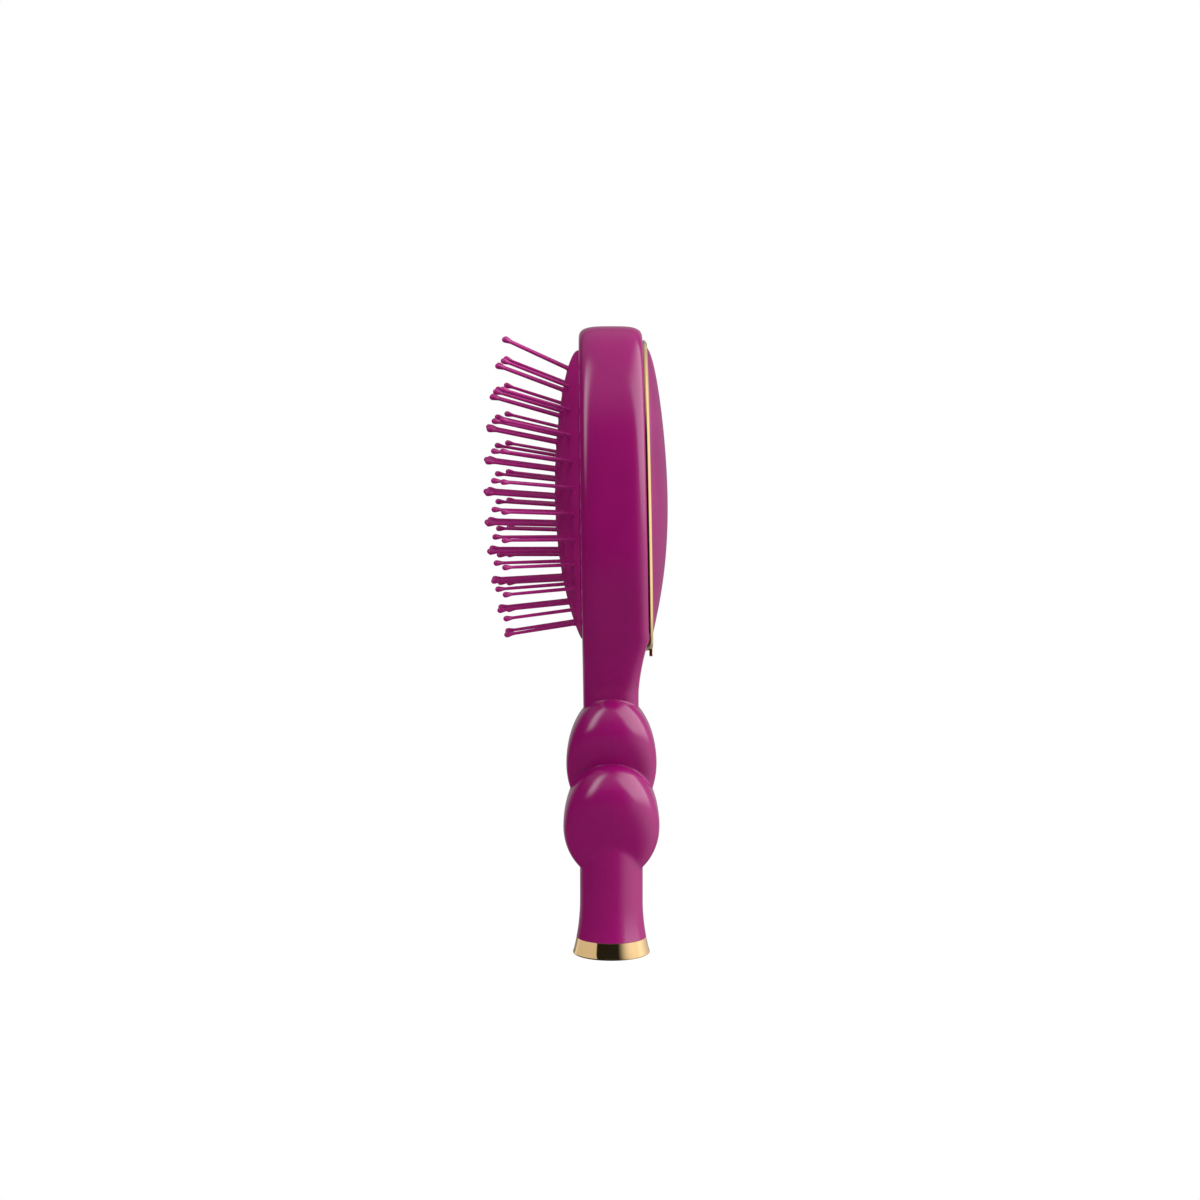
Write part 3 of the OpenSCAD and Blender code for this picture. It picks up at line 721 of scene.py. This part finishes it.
# ---------------------------------------------------------------- trim ring, cover and foot
OVAL_COLUMNS = 240
TAIL_COLUMNS = 60
FOOT_COLUMNS = 128
DOME_LOOPS, DOME_CROWD = 40, 0.8
INSIDE_LOOPS = 14
FLARE_STEPS = 12


def trim_parts():
    """Band with an upright outer wall and a rounded bevel, carried round an oval on the head's back."""
    turn = full_turn(OVAL_COLUMNS)
    loops = []
    for across, up in TRIM_SECTION:
        y = (COVER_A + FIT + across * TRIM_W) * np.cos(turn)
        z = COVER_Z + (COVER_B + FIT + across * TRIM_W) * np.sin(turn)
        loops.append(stack(mix(back_d(z) + FIT, plane_d(z) + TRIM_T, up), y, z))
    return [grid(np.stack(loops), wrap_rows=True, wrap_columns=True)]


def tail_parts():
    """Rounded plate below the ring: a squared oval whose rim is rounded front and back."""
    top = COVER_Z - COVER_B - FIT - TRIM_W / 2
    x1 = plane_d(top) + TRIM_T - FIT
    x0 = x1 - TAIL_T
    half = (TAIL_L + TAIL_UNDER) / 2
    middle = top + TAIL_UNDER - half
    turn = full_turn(TAIL_COLUMNS, 0.0)
    across, upright = (np.sign(w) * np.abs(w) ** TAIL_SQUARE for w in (np.cos(turn), np.sin(turn)))
    y, z = TAIL_W / 2 * across, middle + half * upright
    far, near = TAIL_ROUND, TAIL_ROUND_NEAR
    loops = []
    for x, inset in ((x0, half), (x0, far), (x0 + near, near), (x0 + far, 0.0),
                     (x1 - far, 0.0), (x1 - near, near), (x1, far), (x1, half)):
        keep = 1 - inset / half
        loops.append(stack(x, y * keep, middle + (z - middle) * keep))
    return [grid(np.stack(loops), wrap_columns=True)]


def cover_x(y, z, under):
    """Back of the cover: its dome over the head's back plane, fuller towards the top."""
    q = (y / COVER_A) ** 2 + (z / COVER_B) ** 2
    full = mix(*COVER_FULL, held(0.5 + z / COVER_B / 2))
    dome = TRIM_T / 2 + COVER_CROWN * np.maximum(0, 1 - q) ** full
    return plane_d(COVER_Z + z) + np.maximum(FIT * 2, dome - under)


def cover_parts():
    """Domed cover with a thickness: out from its centre line, over its rim, and back under it."""
    turn = full_turn(OVAL_COLUMNS)
    rim = COVER_T * 2 / COVER_A
    stages = (
        (1 - np.linspace(0, 1, DOME_LOOPS) ** DOME_CROWD, lambda y, z: cover_x(y, z, 0)),
        ((0.0, rim), lambda y, z: back_d(COVER_Z + z) + FIT),
        (np.linspace(rim, 1, INSIDE_LOOPS), lambda y, z: cover_x(y, z, COVER_T)),
    )
    loops = []
    for shares, place_x in stages:
        for s in shares:
            y, z = drawn_in(COVER_A, COVER_B, s, turn)
            loops.append(stack(place_x(y, z), y, COVER_Z + z))
    return [grid(np.stack(loops), wrap_columns=True)]


def foot_parts():
    """Flared cap turned about Z, hollow above its floor, with the spigot that plugs the stem."""
    spigot = STEM_R - WALL - FIT
    bore = spigot - FOOT_WALL
    top = FOOT_H + SPIGOT_L
    flare = [(mix(FOOT_R, FOOT_TOP_R, t ** FOOT_BULGE), mix(SOLE_EDGE_H, FOOT_H - FOOT_LIP, t))
             for t in np.linspace(0, 1, FLARE_STEPS)]
    profile = SOLE + flare + [
        (FOOT_TOP_R - FOOT_LIP, FOOT_H), (spigot, FOOT_H), (spigot, top - SPIGOT_CHAMFER),
        (spigot - SPIGOT_CHAMFER, top), (bore, top), (bore, FOOT_WALL), (0, FOOT_WALL)]
    r, z = np.array(profile, float).T
    turn = full_turn(FOOT_COLUMNS, 0.0)
    points = stack(r[:, None] * np.cos(turn), r[:, None] * np.sin(turn), z[:, None])
    return [grid(points, wrap_columns=True)]


piece("plated_trim", trim_parts() + tail_parts(), "handle", gold_plate,
      ["trim_ring"], 30.0)
piece("domed_cover", cover_parts(), "handle", satin_abs, ["back_cover"])
piece("plated_foot", foot_parts(), "handle", gold_plate, ["foot_cap"], 30.0)
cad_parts["pad_tray"].material_slots[0].material = matte_abs

# ---------------------------------------------------------------- floor, light and camera
scene = bpy.context.scene
scene.view_settings.view_transform = "Standard"

# Sheet of paper under the brush. It is white to the camera, takes the brush's shadow, and is grey
# to other rays, so that the foot gets more light from below than the head. Gloss mirrors the room
# and not the paper.
PAPER_GREY = 0.68
PAPER_GLOW = 1.04
PAPER_GLOW_SHARE = 0.93
FLOOR_REACH = 0.2
paper, tree, shader, _ = finish_named(
    "seamless_paper", Roughness=0.9, Base_Color=(PAPER_GREY, PAPER_GREY, PAPER_GREY, 1))
rays = add(tree, "ShaderNodeLightPath")
glow = add(tree, "ShaderNodeEmission", None, {"Color": (1, 1, 1, 1), "Strength": PAPER_GLOW})
share = add(tree, "ShaderNodeMath", {"operation": "MULTIPLY"}, {
    0: rays.outputs["Is Camera Ray"], 1: PAPER_GLOW_SHARE})
blend = add(tree, "ShaderNodeMixShader", None, {
    0: share.outputs[0], 1: shader.outputs[0], 2: glow.outputs[0]})
tree.links.new(blend.outputs[0], tree.nodes["Material Output"].inputs["Surface"])
floor_mesh = bpy.data.meshes.new("floor")
corners = [(x * FLOOR_REACH, y * FLOOR_REACH, 0) for x, y in ((-1, -1), (1, -1), (1, 1), (-1, 1))]
floor_mesh.from_pydata(corners, [], [(0, 1, 2, 3)])
floor_mesh.materials.append(paper)
floor = bpy.data.objects.new("floor", floor_mesh)
floor.visible_glossy = False
scene.collection.objects.link(floor)

# Studio round the brush: white to the camera, brighter above and at the far right for soft light,
# and for reflections a dark room with pale paper behind, overhead and on the right. The world is
# met by bounced rays alone, so that a glossy surface mirrors the dark room and isn't veiled by the
# soft light. Each side's strength changes softly from low to high between two shares of a
# direction along an axis.
studio = bpy.data.worlds.new("studio")
studio.use_nodes = True
studio.cycles.sampling_method = "NONE"
scene.world = studio
tree = studio.node_tree
tree.nodes.clear()
rays = add(tree, "ShaderNodeLightPath")
way = add(tree, "ShaderNodeSeparateXYZ", None, {0: add(tree, "ShaderNodeTexCoord").outputs["Generated"]})
room = {}
for side, axis, start, end, low, high in (
    ("behind", "Y", 0.5, 0.95, 0.02, 0.35),
    ("right", "X", 0.3, 0.95, 0.0, 1.1),
    ("overhead", "Z", 0.4, 0.85, 0.0, 0.5),
    ("near_camera", "Y", -0.2, 0.7, 1.05, 0.5),
    ("far_side", "Y", -0.7, 0.4, 0.4, 2.0),
):
    room[side] = add(tree, "ShaderNodeMapRange", {"interpolation_type": "SMOOTHSTEP"}, {
        "Value": way.outputs[axis], "From Min": start, "From Max": end,
        "To Min": low, "To Max": high}).outputs["Result"]
right_paper = add(tree, "ShaderNodeMath", {"operation": "MULTIPLY"}, {
    0: room["right"], 1: room["near_camera"]})
sides = add(tree, "ShaderNodeMath", {"operation": "MAXIMUM"}, {
    0: room["behind"], 1: right_paper.outputs[0]})
mirrored_room = add(tree, "ShaderNodeMath", {"operation": "MAXIMUM"}, {
    0: sides.outputs[0], 1: room["overhead"]})
sky = add(tree, "ShaderNodeMapRange", None, {
    "Value": way.outputs["Z"], "From Min": -0.1, "From Max": 0.9, "To Min": 0.17, "To Max": 0.85})
fill = add(tree, "ShaderNodeMath", {"operation": "MULTIPLY_ADD"}, {
    0: room["right"], 1: room["far_side"], 2: sky.outputs["Result"]})
seen = add(tree, "ShaderNodeMix", {"data_type": "FLOAT"}, {
    0: rays.outputs["Is Glossy Ray"], 2: fill.outputs[0], 3: mirrored_room.outputs[0]})
shown = add(tree, "ShaderNodeMix", {"data_type": "FLOAT"}, {
    0: rays.outputs["Is Camera Ray"], 2: seen.outputs[0], 3: 1.0})
back = add(tree, "ShaderNodeBackground", None, {"Color": (1, 1, 1, 1), "Strength": shown.outputs[0]})
add(tree, "ShaderNodeOutputWorld", None, {"Surface": back.outputs[0]})


# Plated pieces mirror whatever stands round them, so they have cards of their own, and the soft
# boxes for the plastic pass them by.
lit = {}
for state in ("INCLUDE", "EXCLUDE"):
    lit[state] = bpy.data.collections.new("plated_" + state.lower())
    for name in ("plated_trim", "plated_foot"):
        lit[state].objects.link(bpy.data.objects[name])
    for entry in lit[state].collection_objects:
        entry.light_linking.link_state = state


AIM = Vector((0, 0, 0.1))


def soft_box(name, azimuth, rise, away, wide, tall, radiance, fade, plated="EXCLUDE"):
    """Soft box that looks at AIM from a distance. Azimuth 0 is the camera's side and 90 the back
    cover's side; rise is the angle above the horizon. It fades over a share of its width and
    height along its edges, so that its reflection has soft ends. It lights all but the plated
    pieces, or those alone."""
    lamp = bpy.data.lights.new(name, "AREA")
    lamp.shape = "RECTANGLE"
    lamp.size, lamp.size_y = wide, tall
    lamp.energy = radiance * math.pi * wide * tall
    lamp.use_nodes = True
    tree = lamp.node_tree
    spot = add(tree, "ShaderNodeNewGeometry").outputs["Parametric"]
    spot = add(tree, "ShaderNodeSeparateXYZ", None, {0: spot})
    ends = []
    for axis, share in zip("XY", fade):
        edge = add(tree, "ShaderNodeMath", {"operation": "PINGPONG"}, {0: spot.outputs[axis], 1: 0.5})
        ends.append(add(tree, "ShaderNodeMapRange", {"interpolation_type": "SMOOTHSTEP"}, {
            "Value": edge.outputs[0], "From Max": share}).outputs["Result"])
    glow = add(tree, "ShaderNodeMath", {"operation": "MULTIPLY"}, {0: ends[0], 1: ends[1]})
    tree.links.new(glow.outputs[0], tree.nodes["Emission"].inputs["Strength"])
    made = bpy.data.objects.new(name, lamp)
    a, e = math.radians(azimuth), math.radians(rise)
    way = Vector((math.sin(a) * math.cos(e), -math.cos(a) * math.cos(e), math.sin(e)))
    made.location = way * away + AIM
    made.rotation_euler = way.to_track_quat("Z", "Y").to_euler()
    made.light_linking.receiver_collection = lit[plated]
    scene.collection.objects.link(made)


soft_box("left_strip", azimuth=-50, rise=38, away=0.7, wide=0.41, tall=1.17, radiance=4.6,
         fade=(0.45, 0.45))
soft_box("right_box", azimuth=76, rise=32, away=1.0, wide=1.7, tall=2.1, radiance=2.8,
         fade=(0.15, 0.35))
soft_box("plated_left_card", azimuth=-95, rise=10, away=0.5, wide=1.15, tall=1.2, radiance=0.75,
         fade=(0.04, 0.1), plated="INCLUDE")
soft_box("plated_right_card", azimuth=125, rise=10, away=0.5, wide=0.9, tall=1.2, radiance=0.5,
         fade=(0.3, 0.1), plated="INCLUDE")

# Camera at the photograph's place: 850 mm off, a little above the brush's middle and tilted down.
CAMERA_PLACE = (-3.42, -850, 200)
CAMERA_TILT = 0.1091
camera_data = bpy.data.cameras.new("camera")
camera_data.sensor_width = 36.0
camera_data.lens = 86.23
camera_data.clip_start = 0.05
camera_data.clip_end = 50.0
camera = bpy.data.objects.new("camera", camera_data)
camera.location = tuple(along_axis * MM for along_axis in CAMERA_PLACE)
camera.rotation_euler = (math.pi / 2 - CAMERA_TILT, 0, 0)
scene.collection.objects.link(camera)
scene.camera = camera
